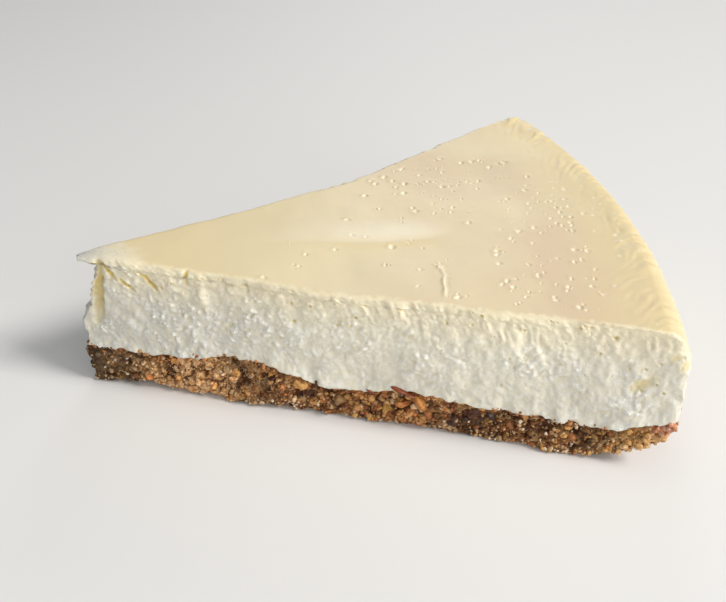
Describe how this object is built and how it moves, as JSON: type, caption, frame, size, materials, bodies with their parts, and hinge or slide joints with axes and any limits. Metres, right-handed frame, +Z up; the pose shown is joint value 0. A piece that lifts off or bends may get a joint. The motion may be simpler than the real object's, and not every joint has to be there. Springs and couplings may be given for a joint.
{
  "type": "cheesecake slice",
  "caption": "Wedge slice of plain baked cheesecake: a deep pale cheese filling with a rounded rim on a coarse biscuit crumb base.",
  "frame": {"origin": "the middle of the slice's bounding box, on the surface that the slice stands on", "axes": "+X from the narrow tip to the curved rim, +Y from the front cut face to the back cut face, +Z up"},
  "size_m": [0.1166, 0.0924, 0.0387],
  "materials": {
    "biscuit_crumb": "matte",
    "baked_cheese": "satin"
  },
  "bodies": {
    "root": {"biscuit_base": "biscuit_crumb", "filling": "baked_cheese"}
  },
  "joints": []
}
